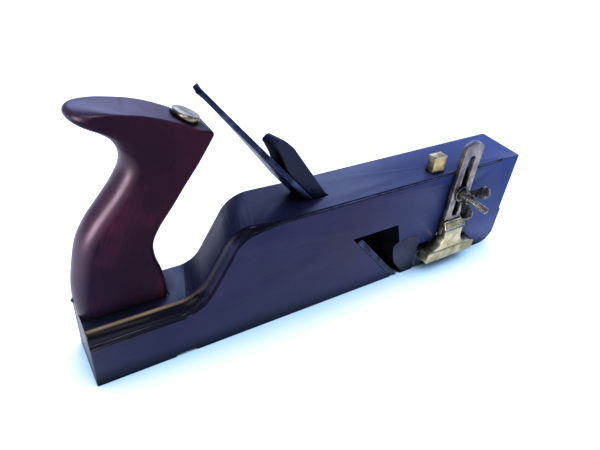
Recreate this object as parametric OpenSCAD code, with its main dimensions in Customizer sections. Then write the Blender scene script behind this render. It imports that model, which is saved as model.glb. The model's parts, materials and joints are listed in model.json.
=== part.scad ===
// Skew moving fillister plane with a razee stock, an open tote, a side escapement,
// a nicker and a slotted depth stop. Millimetres.
// Every piece is drawn from the heel end of the stock (X), its near side (Y) and its sole (Z),
// and then moved so that the origin is the centre of the sole: +X to the toe, +Y to the far side.

/* [Stock] */
// Length of the stock
body_l = 326; // [300:1:350]
// Width of the stock
body_w = 38; // [36:0.5:42]
// Height of the stock at the iron
body_h = 83.5; // [80:0.5:90]
// Height of the lowered heel that carries the tote
heel_h = 39; // [35:0.5:44]
// Distance from the heel to the foot of the ramp, on the near side
ramp_x = 61.7; // [58:0.1:68]
// Slope of the ramp
ramp_angle = 62.7; // [55:0.1:70]
// Angle at which the ramp runs across the stock
ramp_skew = 18.8; // [0:0.1:22]
// Radius of the hollow at the foot of the ramp
foot_r = 15.5; // [8:0.5:18]
// Radius of the round at the crest of the ramp
crest_r = 19.5; // [12:0.5:24]
// Width of the moulding along the near edge at the heel
mould_w = 7.5; // [5:0.1:9]
// Depth of the moulding below the heel surface
mould_d = 8; // [5:0.1:9]
// Small chamfer on the other top edges
edge_c = 1.2; // [0.6:0.1:2]
// Length of the worn bevel under the toe
toe_bevel_l = 15; // [8:0.5:20]
// Height of the worn bevel under the toe
toe_bevel_h = 8.5; // [4:0.5:12]

/* [Bed and throat] */
// Distance from the heel to the foot of the bed, on the near side
bed_x = 217.8; // [210:0.1:226]
// Pitch of the bed, seen from the side
bed_pitch = 49; // [47:0.1:52]
// Skew of the iron across the stock
bed_skew = 18.8; // [12:0.1:22]
// Height of the escapement's ceiling
ceiling_h = 50.5; // [48:0.1:56]
// Length of the escapement's ceiling on the near side
ceiling_l = 39; // [34:0.5:42]
// Mouth opening ahead of the cutting edge
mouth_gap = 3.8; // [1:0.1:5]
// Angle at which the escapement narrows inward
throat_turn = 40; // [30:1:45]
// Depth of the wide part of the escapement
throat_depth = 13; // [8:0.5:15]
// Thickness of the far cheek beside the blade
cheek_t = 7; // [5:0.1:9]

/* [Iron and wedge] */
// Thickness of the blade
blade_t = 4.2; // [3:0.1:4.6]
// Height of the blade's shoulder above the sole
shoulder_h = 45.5; // [42:0.1:46]
// Width of the tang where it leaves the stock
tang_w = 12.5; // [11:0.1:14]
// Width of the tang at its top end
tang_end_w = 9.5; // [7:0.1:11]
// Thickness of the tang where it leaves the stock
tang_t = 3.4; // [2.6:0.1:4]
// Thickness of the tang at its top end
tang_end_t = 2.7; // [1.6:0.1:3]
// How far the forged tang twists its far edge off the line of the bed
tang_twist = 2.6; // [0:0.1:4]
// Distance from the near side to the tang
tang_y = 13; // [12:0.1:14]
// Height of the tang's top end
tang_top = 165; // [150:1:180]
// Angle of the blade's honed bevel
bevel_angle = 25; // [20:1:32]
// Height of the cutting edge above the sole when the plane is put away
edge_lift = 0.1; // [0:0.05:0.5]
// Width of the wedge
wedge_w = 11.5; // [10:0.1:12]
// Thickness of the wedge where it enters the stock
wedge_t = 8.3; // [7:0.1:10]
// Taper of the wedge
wedge_taper = 5.5; // [3:0.1:6]
// Height of the wedge's top end
wedge_top = 127.3; // [120:0.1:136]
// Height at which the wedge's tongue ends in the throat
wedge_foot = 34; // [26:0.5:42]

/* [Nicker] */
// Distance from the heel to the back of the nicker's bar
nicker_x = 239; // [236:0.1:246]
// Length of the bar's section
nicker_l = 11; // [9:0.1:13]
// Width of the bar's section
nicker_w = 7; // [5:0.1:8]
// Distance from the near side to the bar
nicker_y = 5.4; // [4:0.1:7]
// Height of the bar above the stock
nicker_rise = 12; // [6:0.5:20]
// Thickness of the steel cutter
cutter_t = 2; // [1.2:0.1:3]
// Height of the cutter
cutter_h = 17; // [12:0.5:22]
// How far the nicker can be raised
nicker_lift = 6; // [3:0.5:8]

/* [Shoulder boxing] */
// Height of the boxwood slip ahead of the mouth
boxing_h = 34; // [28:0.5:40]
// Thickness of the slip
boxing_t = 4.6; // [3:0.1:4.8]
// Radius of the slip's curved throat edge
boxing_r = 50; // [40:1:80]

/* [Tote] */
// Distance from the near side to the middle of the tote
tote_y = 25; // [23:0.1:26]
// Thickness of the tote at its base
tote_base_t = 19.5; // [17:0.1:22]
// Thickness of the tote at its head
tote_head_t = 22; // [20:0.1:24]
// Depth to which the tote is let into the stock
let_in = 8; // [4:0.5:12]
// Distance from the heel to the middle of the tote's nut
nut_x = 69.5; // [66:0.1:72]
// Height of the middle of the nut's face
nut_h = 150; // [148:0.1:152]
// Lean of the tote's bolt
bolt_lean = 24; // [22:0.5:25]
// Diameter of the nut's head
nut_d = 14.8; // [14:0.1:17]
// Thickness of the nut's head
nut_t = 3.4; // [2:0.1:4]
// Diameter of the nut's sleeve
sleeve_d = 9; // [8:0.1:10]
// Length of the nut's sleeve
sleeve_l = 16; // [10:0.5:24]
// Diameter of the tote's bolt
bolt_d = 6; // [4:0.1:7]
// Depth of the bolt's foot below the heel surface
bolt_depth = 24; // [14:0.5:28]
// Diameter of the brad through the tote's heel
brad_d = 2.6; // [1.6:0.1:3]
// Length of the brad
brad_l = 23; // [20:0.5:24]

/* [Depth stop] */
// Distance from the heel to the middle of the depth stop's arm
stop_x = 264.8; // [260:0.1:275]
// Width of the arm
arm_w = 17.4; // [14:0.1:20]
// Thickness of the arm
arm_t = 4; // [3:0.1:5]
// Height of the arm's arched top
arm_top = 107.5; // [96:0.5:116]
// Rise of the arch at the arm's top
arch_rise = 4.2; // [2:0.1:6]
// Width of the slot
slot_w = 6.5; // [5.6:0.1:8]
// Height of the slot's upper end
slot_top = 97; // [88:0.5:100]
// Height of the foot above the sole
foot_z = 10.5; // [2:0.5:12]
// Length of the foot's bar
bar_l = 48; // [44:0.5:60]
// How far the bar's back end lies behind the arm's middle
bar_back = 22.3; // [20:0.1:24]
// Height of the bar
bar_h = 8.5; // [6:0.1:12]
// Thickness of the bar
bar_t = 9.5; // [9:0.1:12]
// Height of the web between the bar and the panel
web_h = 18.2; // [16:0.1:22]
// Thickness of the web
web_t = 8.4; // [6:0.1:8.8]
// Width of the framed panel
panel_w = 19.9; // [18.4:0.1:22]
// Height of the framed panel
panel_h = 6; // [5:0.1:8]
// Distance that the panel's lower edge stands out
panel_t = 8.9; // [8.5:0.1:9.4]
// Distance that the panel's upper edge stands out
panel_lip = 5.5; // [4.8:0.1:7]
// Width of the panel's frame
frame_w = 1.6; // [1:0.1:2.4]
// Depth of the panel inside its frame
frame_d = 0.8; // [0.4:0.1:1.2]

/* [Stud and wing nut] */
// Height of the stud above the sole
stud_z = 66; // [62:0.1:70]
// Diameter of the stud
stud_d = 5; // [4:0.1:5.4]
// Length of stud that stands out of the stock
stud_out = 28.5; // [20:0.5:34]
// Diameter of the bush that holds the stud
bush_d = 12; // [9:0.1:14]
// Length of the bush
bush_l = 14; // [10:0.5:16]
// Diameter of the washer
washer_d = 12.4; // [10:0.1:14]
// Thickness of the washer
washer_t = 1.2; // [0.8:0.1:2]
// Diameter of the wing nut's hub at its foot
hub_d = 9.6; // [8.4:0.1:12]
// Length of the wing nut's hub
hub_l = 8; // [7:0.1:12]
// Height of the wings' round ends above the washer
wing_rise = 12.4; // [9:0.1:15]
// Span of the wings
wing_span = 27.8; // [24:0.1:32]
// Thickness of the wings
wing_t = 2.6; // [1.8:0.1:3.6]
// Diameter of each wing's round end
wing_d = 9; // [7:0.1:11]
// Angle at which the wings lie
wing_angle = 51; // [0:1:180]

/* [Fence bushes] */
// Distance between the two bushes in the sole
bush_spacing = 200; // [160:1:210]
// Distance from the heel to the middle of the two bushes
bush_mid = 186; // [180:1:195]
// Distance from the near side to the bushes
fence_y = 25; // [23:0.1:27]
// Diameter of a fence bush
fence_bush_d = 13; // [10:0.1:15]
// Length of a fence bush
fence_bush_l = 18; // [12:0.5:20]
// Diameter of the hole for the fence's screw
fence_hole_d = 6.4; // [5:0.1:7]
// Depth of that hole
fence_hole_l = 15; // [10:0.5:16]

/* [Hidden] */
$fn = 72;

// Clearance of a fixed piece in its hole
fit = 0.05;
// Clearance of a piece that slides
slide = 0.2;
// Distance by which a cutter passes a face
over = 2;
// Pitch of the bed in the plane square to its run across the stock
bed_true = atan(tan(bed_pitch) / cos(bed_skew));

// Draws its children from the heel, the near side and the sole
module from_heel() translate([-body_l / 2, -body_w / 2, 0]) children();

// Mean of two numbers or points
function mix(a, b, t) = a + (b - a) * t;
function smooth(t) = t <= 0 ? 0 : t >= 1 ? 1 : t * t * (3 - 2 * t);

// Closed skin through rings of equal length, with flat ends
module skin(rings) {
    n = len(rings[0]);
    last = len(rings) - 1;
    polyhedron(
        points = [for (ring = rings) each ring],
        faces = concat(
            [[for (i = [0 : n - 1]) i]],
            [for (r = [0 : last - 1], i = [0 : n - 1], half = [0, 1])
                let (j = (i + 1) % n, a = r * n, b = a + n)
                half == 0 ? [a + i, b + i, b + j] : [a + i, b + j, a + j]],
            [[for (i = [n - 1 : -1 : 0]) last * n + i]]
        )
    );
}

// The razee: a flat heel, a hollow, a slope, a round and the flat top.
// The ramp is worked out in the plane square to its run and read back in the side view.
foot_x = ramp_x * cos(ramp_skew);
foot_run = foot_r * tan(ramp_angle / 2);
crest_run = crest_r * tan(ramp_angle / 2);
crest_x = foot_x + (body_h - heel_h) / tan(ramp_angle);

arc_steps = 14;
// Solid above the heel and behind the ramp, to be taken off the block
module razee_cutter()
    rotate([90, 0, -ramp_skew]) linear_extrude(height = 4 * body_w, center = true) polygon(concat(
        [[-2 * body_w, heel_h]],
        [for (i = [0 : arc_steps]) let (a = ramp_angle * i / arc_steps)
            [foot_x - foot_run + foot_r * sin(a), heel_h + foot_r * (1 - cos(a))]],
        [for (i = [0 : arc_steps]) let (a = ramp_angle * (1 - i / arc_steps))
            [crest_x + crest_run - crest_r * sin(a), body_h - crest_r * (1 - cos(a))]],
        [[crest_x + crest_run, body_h + over], [-2 * body_w, body_h + over]]
    ));

// A station on the near top edge: [x, z, tilt of the surface], with the distance u run from the heel
foot_u = foot_x - foot_run;
foot_arc = foot_r * ramp_angle * PI / 180;
slope_l = (body_h - heel_h) / sin(ramp_angle) - foot_run - crest_run;
crest_arc = crest_r * ramp_angle * PI / 180;
crest_u = foot_u + foot_arc + slope_l + crest_arc;
function edge_station(u) =
    u < foot_u ? [u, heel_h, 0] :
    u < foot_u + foot_arc ?
        let (a = ramp_angle * (u - foot_u) / foot_arc)
        [foot_u + foot_r * sin(a), heel_h + foot_r * (1 - cos(a)), a] :
    u < foot_u + foot_arc + slope_l ?
        let (r = u - foot_u - foot_arc + foot_run)
        [foot_x + r * cos(ramp_angle), heel_h + r * sin(ramp_angle), ramp_angle] :
    u < crest_u ?
        let (a = ramp_angle * (crest_u - u) / crest_arc)
        [crest_x + crest_run - crest_r * sin(a), body_h - crest_r * (1 - cos(a)), a] :
    [crest_x + crest_run + u - crest_u, body_h, 0];

// The moulding's section: share of its width and of its depth, from the outer arris inward
mould_section = [
    [-0.3, 1], [0, 1], [0.4, 0.88], [0.5, 0.6], [0.72, 0.3], [1.3, -0.32], [-0.3, -0.32],
];
// It fades to the small chamfer over the round of the crest
fade_from = foot_u + foot_arc + slope_l - 6;
fade_to = crest_u + 22;
edge_steps = 30;
edge_end = (body_l + over) * cos(ramp_skew);
function edge_ring(u) =
    let (s = edge_station(u), f = smooth((u - fade_from) / (fade_to - fade_from)),
         w = mix(mould_w, edge_c, f), d = mix(mould_d, edge_c, f))
    [for (m = mould_section)
        let (y = m[0] * w, down = m[1] * d)
        [(s[0] + y * sin(ramp_skew)) / cos(ramp_skew) + down * sin(s[2]), y, s[1] - down * cos(s[2])]];
edge_us = [
    -over,
    for (i = [0 : edge_steps]) mix(foot_u - 2, fade_to, i / edge_steps),
    edge_end + over,
];
module near_edge_cutter() skin([for (u = edge_us) edge_ring(u)]);

// A side view drawn at the near side and run across the stock, turned in plan about the point at
module run_across(points, turn, at)
    translate([at, 0, 0]) rotate([90, 0, turn])
        linear_extrude(height = 6 * body_w, center = true)
            polygon([for (p = points) [(p[0] - at) * cos(turn), p[1]]]);

// A profile drawn on the bed: first the distance up the bed from the sole, then the height off it
module run_on_bed(points)
    translate([bed_x, 0, 0]) rotate([0, 0, bed_skew]) rotate([-90, bed_true - 180, 0])
        linear_extrude(height = 6 * body_w, center = true) polygon(points);

// Keeps what lies between two distances from the near side
module between(y0, y1) intersection() {
    children();
    translate([-body_l, y0, -body_h]) cube([3 * body_l, y1 - y0, 5 * body_h]);
}

// Point from its distance up the bed, its height off the bed and its distance from the near side
function on_bed(a, off, y) =
    let (x = off * sin(bed_true) - a * cos(bed_true))
    [bed_x + x / cos(bed_skew) - y * tan(bed_skew), y, a * sin(bed_true) + off * cos(bed_true)];

// Distance up the bed of a point at a height above the sole and a height off the bed
function up_bed(z, off) = (z - off * cos(bed_true)) / sin(bed_true);
// Where the bed stands in the side view, and how far a thickness reaches along the stock
function bed_at(z) = bed_x - z / tan(bed_pitch);
function level(t) = t / sin(bed_true) / cos(bed_skew);
edge_x = bed_x + level(blade_t);
mouth_x = edge_x + mouth_gap;

// Rear edge of the shoulder boxing: an arc from the mouth up to a small round nose
nose_x = mouth_x - 13.4;
nose_r = 4.4;
nose_z = boxing_h - nose_r - 0.6;
boxing_steps = 8;
boxing_turn = 2 * asin(norm([mouth_x - nose_x, nose_z]) / 2 / boxing_r);
boxing_lean = atan2(nose_z, nose_x - mouth_x);
boxing_edge = [for (i = [0 : boxing_steps])
    let (a = boxing_lean + boxing_turn * (0.5 - i / boxing_steps))
    [mouth_x, 0] + boxing_r * [sin(boxing_lean + boxing_turn / 2), -cos(boxing_lean + boxing_turn / 2)]
        - boxing_r * [sin(a), -cos(a)]];
nose_round = [for (a = [150, 120, 90]) [nose_x + nose_r * (1 + cos(a)), nose_z + nose_r * sin(a)]];

// The wide part of the escapement, which narrows as it goes in
module escapement_space() between(-over, throat_depth) run_across(concat(
    [[mouth_x, -over]], boxing_edge, nose_round,
    [[bed_at(ceiling_h) + ceiling_l, ceiling_h], [0, ceiling_h], [0, -over]]
), throat_turn, mouth_x);

// The narrow part of the throat, up to the far cheek, with its ceiling a little lower
narrow_l = 16;
narrow_h = ceiling_h - 0.4;
module throat_space() between(-over, body_w - cheek_t + slide) run_across([
    [0, -over], [mouth_x, -over], [mouth_x, over], [bed_at(narrow_h) + narrow_l, narrow_h], [0, narrow_h],
], bed_skew, bed_x);

// The wedge's front leaves the tang at a small angle
wedge_gauge = up_bed(body_h, tang_t + wedge_t);
function wedge_front(a) = tang_t + wedge_t + (a - wedge_gauge) * tan(wedge_taper);

// Mortise for the tang and the wedge, from the top of the stock into the throat
mortise_foot = up_bed(ceiling_h - over, tang_t + wedge_t);
mortise_head = up_bed(body_h + over, 0);
module mortise_space() between(tang_y - slide, tang_y + tang_w + slide) run_on_bed([
    [mortise_foot, -over], [mortise_head, -over],
    [mortise_head, wedge_front(mortise_head)], [mortise_foot, wedge_front(mortise_foot)],
]);

// What lies ahead of the bed, or of a plane at a height off it
module ahead_of_bed(off = 0) run_on_bed([
    [-2 * body_h, off], [2 * body_h, off], [2 * body_h, 2 * body_h], [-2 * body_h, 2 * body_h],
]);
module bed_cutter() intersection() {
    union() {
        escapement_space();
        throat_space();
        mortise_space();
    }
    ahead_of_bed();
}

// Slot of the nicker's bar, right through, and the groove of its cutter in the near side
cutter_z = 0.2;
groove_h = cutter_z + cutter_h + nicker_lift + 1;
module nicker_cutter_space() {
    translate([nicker_x - slide, nicker_y - slide, -over])
        cube([nicker_l + 2 * slide, nicker_w + 2 * slide, body_h + 2 * over]);
    translate([nicker_x - slide, -over, -over])
        cube([nicker_l + 2 * slide, nicker_y + over, groove_h + over]);
}

// Block of the boxing before the throat is cut through it, kept clear of the bed
boxing_end = nicker_x - slide;
module boxing_block(extra = 0) intersection() {
    translate([nose_x - nose_r, -extra, -extra])
        cube([boxing_end - nose_x + nose_r, boxing_t + extra, boxing_h + extra]);
    ahead_of_bed(slide);
}

// Line of the tote's bolt, from the middle of the nut's face down and back
module on_tote_bolt() translate([nut_x, tote_y, nut_h]) rotate([0, bolt_lean, 0]) children();
bolt_foot = (nut_h - heel_h + bolt_depth) / cos(bolt_lean);
module bolt_hole() on_tote_bolt()
    translate([0, 0, -bolt_foot - 1]) cylinder(d = bolt_d + 2 * fit, h = bolt_foot + 1);

// Line of the brad, from the back of the tote down into the stock
brad_angle = 60;
brad_x = -0.8;
brad_z = 48.7;
module on_brad() translate([brad_x, tote_y, brad_z]) rotate([0, 90 + brad_angle, 0]) children();
module brad_hole() on_brad() translate([0, 0, -over]) cylinder(d = brad_d + 2 * fit, h = brad_l + over + 1);

module stock() color([0.10, 0.08, 0.13]) from_heel() difference() {
    cube([body_l, body_w, body_h]);
    razee_cutter();
    near_edge_cutter();
    far_edge_cutter();
    toe_cutter();
    bed_cutter();
    nicker_cutter_space();
    boxing_block(fit);
    tote_foot(fit);
    bolt_hole();
    brad_hole();
    on_stud(bush_l + fit) cylinder(d = bush_d + 2 * fit, h = bush_l + over);
    for (x = fence_xs) translate([x, fence_y, -over])
        cylinder(d = fence_bush_d + 2 * fit, h = fence_bush_l + fit + over);
    translate([nick_x, -over, -over]) cube([nick_l, nick_d + over, nick_h + over]);
}

// Small chamfer that grows along the far top edge from the crest of the ramp
far_start = crest_x / cos(ramp_skew) + body_w * tan(ramp_skew);
far_grow = 40;
far_missed = 0.3;
function far_ring(x, c) = [
    [x, body_w - c - over, body_h + over], [x, body_w + over, body_h - c - over],
    [x, body_w + over, body_h + over],
];
module far_edge_cutter() skin([
    far_ring(far_start, -far_missed), far_ring(far_start + far_grow, edge_c), far_ring(body_l + over, edge_c),
]);
// Round of the toe's top corner, and the chamfer down its near upright edge
toe_round = 3;
toe_worn = toe_round * (1 - cos(45));
toe_chamfer = 2;
toe_chamfer_z = 33;
module toe_cutter() {
    translate([body_l, 0, toe_chamfer_z]) rotate([0, 0, 45])
        translate([-toe_chamfer, -toe_chamfer * sqrt(2) / 2, 0])
            cube([2 * toe_chamfer, toe_chamfer * sqrt(2), body_h]);
    rotate([90, 0, 0]) translate([0, 0, -body_w - over]) linear_extrude(height = body_w + 2 * over)
        polygon([
            [body_l - toe_bevel_l, -over], [body_l - toe_bevel_l, 0],
            [body_l - toe_bevel_l / 3, toe_bevel_h / 4], [body_l, toe_bevel_h],
            [body_l + over, toe_bevel_h], [body_l + over, -over],
        ]);
    rotate([90, 0, 0]) translate([0, 0, -body_w - over]) linear_extrude(height = body_w + 2 * over)
        polygon([
            [body_l - toe_round - over, body_h + over / 4], [body_l - toe_worn, body_h - toe_worn],
            [body_l + over / 4, body_h - toe_round - over], [body_l + over, body_h + over],
        ]);
}

// Shallow nick worn in the near bottom edge
nick_x = 48;
nick_l = 13.5;
nick_d = 3;
nick_h = 2;

module shoulder_boxing() color([0.45, 0.40, 0.42]) from_heel() difference() {
    boxing_block();
    bed_cutter();
}

fence_xs = [bush_mid - bush_spacing / 2, bush_mid + bush_spacing / 2];
module fence_bushes() color([0.72, 0.55, 0.28]) from_heel()
    for (x = fence_xs) translate([x, fence_y, 0]) difference() {
        cylinder(d = fence_bush_d, h = fence_bush_l);
        translate([0, 0, -1]) cylinder(d = fence_hole_d, h = fence_hole_l + 1);
    }

// Length of the tote's foot in its groove
foot_l = 50.4;
// The tote: stations from its foot to its crown. Each has its back point and its front point in the
// side view, and its share of the way from the base's thickness to the head's.
tote_stations = [
    [[0.4, heel_h - let_in], [foot_l, heel_h - let_in], 0],
    [[-0.6, 46], [50.2, 45], 0],
    [[-0.2, 58], [48.4, 58], 0],
    [[2, 71], [45.6, 68], 0.1],
    [[6, 87], [45, 79], 0.2],
    [[12, 98.4], [49.5, 89.5], 0.3],
    [[20.4, 109], [57, 100.5], 0.45],
    [[28, 118.8], [65, 113], 0.6],
    [[33, 128.3], [72, 123.5], 0.8],
    [[33.2, 136.5], [77.5, 133], 1],
    [[29.5, 143.6], [80.2, 137.6], 1],
    [[22.6, 149.6], [80.8, 139], 1],
    [[14.8, 154.6], [80.6, 140], 1],
    [[11.8, 158.6], [79.8, 141], 1],
    [[12.8, 161.2], [77.4, 142.6], 1],
];
// The crown, nearly flat across: back point, front point and the share of the head's thickness
crown_stations = [
    [[15.8, 162.1], [71.5, 145], 1],
    [[21.5, 161.9], [63, 149.6], 1],
    [[29, 160.5], [54, 153.6], 0.99],
    [[36, 158.7], [46, 156.3], 0.97],
];
back_round = 11;
front_round = 4;
side_steps = 5;
// Half outline of a section, from the front middle round to the side and to the back middle
function half_section(l, t, back_r, front_r) = concat(
    [for (i = [0 : 3]) let (a = 90 * i / 3)
        [l - front_r + front_r * cos(a), t / 2 - front_r + front_r * sin(a)]],
    [for (i = [1 : side_steps]) let (a = 90 * i / side_steps)
        [back_r * (1 - sin(a)), t / 2 * cos(a)]]
);
function section(b, f, t) =
    let (l = norm(f - b), dir = (f - b) / l,
         h = half_section(l, t, min(back_round, l / 2), min(front_round, t / 2, l / 4)), n = len(h))
    concat(
        [for (p = h) [b[0] + dir[0] * p[0], tote_y - p[1], b[1] + dir[1] * p[0]]],
        [for (i = [n - 2 : -1 : 0]) let (p = h[i])
            [b[0] + dir[0] * p[0], tote_y + p[1], b[1] + dir[1] * p[0]]]
    );
tote_rings = concat(
    [for (s = tote_stations) section(s[0], s[1], mix(tote_base_t, tote_head_t, s[2]))],
    [for (s = crown_stations) section(s[0], s[1], tote_head_t * s[2])]
);
module tote_skin() skin([for (i = [len(tote_rings) - 1 : -1 : 0]) tote_rings[i]]);
// Groove in the heel for the tote's foot, and the square foot that fills it to just below the heel surface
foot_low = 0.5;
module tote_foot(gap) translate([-over, tote_y - tote_base_t / 2 - gap, heel_h - let_in - gap])
    cube([foot_l + over + gap, tote_base_t + 2 * gap, let_in + over + gap]);
module tote_square() translate([2 * fit, tote_y - tote_base_t / 2 + fit, heel_h - let_in + fit])
    cube([foot_l - 3 * fit, tote_base_t - 2 * fit, let_in - foot_low - fit]);

module tote() color([0.24, 0.10, 0.13]) from_heel() difference() {
    union() {
        tote_skin();
        tote_square();
    }
    bolt_hole();
    brad_hole();
    on_tote_bolt() translate([0, 0, -nut_t]) cylinder(d = nut_d + 2 * fit, h = 3 * nut_t);
    on_tote_bolt() translate([0, 0, -nut_t - sleeve_l - 1])
        cylinder(d = sleeve_d + 2 * fit, h = sleeve_l + over);
}

module tote_bolt() color([0.35, 0.35, 0.37]) from_heel() on_tote_bolt()
    translate([0, 0, -bolt_foot]) cylinder(d = bolt_d, h = bolt_foot - nut_t - 1);

module tote_nut() color([0.70, 0.58, 0.38]) from_heel() on_tote_bolt() difference() {
    union() {
        translate([0, 0, -nut_t]) cylinder(d = nut_d, h = nut_t);
        translate([0, 0, -nut_t - sleeve_l]) cylinder(d = sleeve_d, h = sleeve_l + 1);
    }
    translate([0, 0, -bolt_foot]) cylinder(d = bolt_d + 2 * fit, h = bolt_foot - nut_t);
}

module heel_brad() color([0.20, 0.20, 0.22]) from_heel() on_brad() cylinder(d = brad_d, h = brad_l);

// The iron: a blade as wide as the mouth and a narrow tang above its shoulder.
// Above the wedge the forged tang grows thinner and narrower, twists a little and ends round.
blade_foot = up_bed(edge_lift, blade_t);
shoulder_a = up_bed(shoulder_h, 0);
tang_end = up_bed(tang_top, tang_t);
wedge_end = up_bed(wedge_top, tang_t + wedge_t);
wedge_contact = 28;
twist_gap = 4;
tang_free = wedge_end - wedge_contact + twist_gap;
tang_steps = 6;
tang_round = 2.6;
function tang_ring(a, narrower) =
    let (t = max(0, (a - tang_free) / (tang_end - tang_free)), lift = tang_twist * sin(90 * t),
         thick = mix(tang_t, tang_end_t, t), y0 = tang_y + narrower,
         y1 = tang_y + mix(tang_w, tang_end_w, t) - narrower)
    [on_bed(a, lift + thick, y1), on_bed(a, lift, y1), on_bed(a, 0, y0), on_bed(a, thick, y0)];
module iron() color([0.13, 0.15, 0.24]) from_heel() {
    between(0, body_w - cheek_t) run_on_bed([
        [blade_foot, blade_t], [blade_foot + blade_t / tan(bevel_angle), 0],
        [shoulder_a, 0], [shoulder_a, blade_t],
    ]);
    between(tang_y, tang_y + tang_w) run_on_bed([
        [shoulder_a - 1, 0], [tang_free, 0], [tang_free, tang_t], [shoulder_a - 1, tang_t],
    ]);
    skin(concat(
        [tang_ring(tang_free - 1, 0)],
        [for (i = [0 : tang_steps]) tang_ring(mix(tang_free, tang_end - tang_round, i / tang_steps), 0)],
        [for (h = [30, 60, 90]) tang_ring(tang_end - tang_round * (1 - sin(h)), tang_round * (1 - cos(h)))]
    ));
}

// The wedge: flat against the tang, tapered in front, with a finial that leans off the tang
wedge_tip = up_bed(wedge_foot, tang_t + wedge_t);
wedge_step = shoulder_a + 5;
wedge_y = tang_y + tang_w - wedge_w - fit;
finial_back = [[-wedge_contact, 0], [-19.3, 1.2], [-10.8, 4.1], [-3.3, 5.8], [-1.4, 5.9], [-0.3, 7.2]];
finial_front = [[0, 9.6], [-0.7, 11.6], [-4.2, 12.2]];
finial_l = 10.5;
module wedge() color([0.09, 0.08, 0.12]) from_heel() between(wedge_y, wedge_y + wedge_w)
    run_on_bed(concat(
        [[wedge_tip, blade_t + fit], [wedge_step, blade_t + fit], [wedge_step, tang_t]],
        [for (p = concat(finial_back, finial_front)) [wedge_end + p[0], tang_t + p[1]]],
        [[wedge_end - finial_l, wedge_front(wedge_end - finial_l)], [wedge_tip, wedge_front(wedge_tip)]]
    ));

// The nicker: a brass bar with a foot that carries a steel cutter by one rivet
cutter_gap = 0.3;
nicker_foot_z = 3;
rivet_d = 4;
rivet_z = cutter_z + cutter_h - 4.5;
tooth_h = 4;
module nicker_rivet_line(d, y1)
    translate([nicker_x + nicker_l / 2, cutter_gap, rivet_z]) rotate([-90, 0, 0])
        cylinder(d = d, h = y1 - cutter_gap);
module nicker_bar() color([0.74, 0.58, 0.30]) from_heel() difference() {
    union() {
        translate([nicker_x, nicker_y, nicker_foot_z])
            cube([nicker_l, nicker_w, body_h + nicker_rise - nicker_foot_z]);
        translate([nicker_x, cutter_gap + cutter_t, nicker_foot_z])
            cube([nicker_l, nicker_y, cutter_z + cutter_h - nicker_foot_z]);
    }
    nicker_rivet_line(rivet_d + 2 * fit, nicker_y + nicker_w / 2);
}
module nicker_cutter() color([0.40, 0.42, 0.46]) from_heel() difference() {
    translate([nicker_x, cutter_gap + cutter_t, cutter_z]) rotate([90, 0, 0])
        linear_extrude(height = cutter_t) polygon([
            [0, cutter_h], [nicker_l, cutter_h], [nicker_l, tooth_h],
            [nicker_l * 0.55, 0], [nicker_l * 0.4, 0], [0, tooth_h],
        ]);
    nicker_rivet_line(rivet_d + 2 * fit, nicker_y);
}
module nicker_rivet() color([0.40, 0.38, 0.36]) from_heel()
    nicker_rivet_line(rivet_d, nicker_y + nicker_w / 2 - fit);

// The depth stop: heights of its parts above the sole
bar_top = foot_z + bar_h;
web_top = bar_top + web_h;
panel_top = web_top + panel_h;
slot_foot = panel_top + 3;
arm_foot = web_top - 9;
cove_r = 12;
panel_step = 1.2;
web_foot = panel_w - 2 * panel_step + 2 * cove_r;
frame_up = frame_w * 0.7;
frame_in = frame_d + frame_up * (panel_t - panel_lip) / panel_h;
rivet_spacing = 9;
stop_rivet_d = 3;
// Draws an outline of the stop as seen from the near side, from one distance out to another
module stop_plate(y0, y1)
    translate([stop_x, -y0, 0]) rotate([90, 0, 0]) linear_extrude(height = y1 - y0) children();
module rivet_places()
    for (side = [-1, 1]) translate([side * rivet_spacing / 2, arm_foot + 4.5]) children();
module arm_outline() difference() {
    arch_r = (arm_w * arm_w / 4 + arch_rise * arch_rise) / (2 * arch_rise);
    intersection() {
        translate([-arm_w / 2, arm_foot]) square([arm_w, arm_top - arm_foot]);
        union() {
            translate([0, arm_top - arch_r]) circle(arch_r);
            translate([-arm_w, arm_foot - 1]) square([2 * arm_w, arm_top - arch_rise - arm_foot + 1]);
        }
    }
    for (z = [slot_foot + slot_w / 2, slot_top - slot_w / 2]) translate([0, z]) circle(d = slot_w);
    translate([-slot_w / 2, slot_foot + slot_w / 2]) square([slot_w, slot_top - slot_foot - slot_w]);
}
module depth_stop_arm() color([0.62, 0.50, 0.30]) from_heel() stop_plate(0, arm_t) difference() {
    arm_outline();
    rivet_places() circle(d = stop_rivet_d + 2 * fit);
}
// A profile of the stop seen from its end, first the distance out and then the height, as wide as w
module stop_profile(w, points) translate([stop_x, 0, 0]) rotate([90, 0, -90])
    linear_extrude(height = w, center = true) polygon(points);
module depth_stop_foot() color([0.66, 0.53, 0.31]) from_heel() difference() {
    union() {
        stop_plate(0, bar_t) translate([-bar_back, foot_z]) square([bar_l, bar_h]);
        stop_plate(0, web_t) difference() {
            translate([-web_foot / 2, bar_top - 1]) square([web_foot, web_h + 1]);
            for (side = [-1, 1]) translate([side * (panel_w / 2 - panel_step + cove_r), bar_top + cove_r]) {
                circle(cove_r);
                translate([-cove_r, 0]) square([2 * cove_r, web_h]);
            }
        }
        stop_profile(panel_w, [
            [0, web_top], [panel_t, web_top], [panel_lip, panel_top], [0, panel_top],
        ]);
    }
    stop_plate(-over, arm_t + fit) translate([-arm_w / 2 - fit, arm_foot - fit])
        square([arm_w + 2 * fit, web_h + panel_h]);
    stop_profile(panel_w - 2 * frame_w, [
        [panel_t - frame_in, web_top + frame_up], [panel_t + over, web_top + frame_up],
        [panel_lip + over, panel_top - frame_up], [panel_lip + frame_in - frame_d, panel_top - frame_up],
    ]);
    stop_plate(-over, web_t - 1) rivet_places() circle(d = stop_rivet_d + 2 * fit);
}
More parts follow.
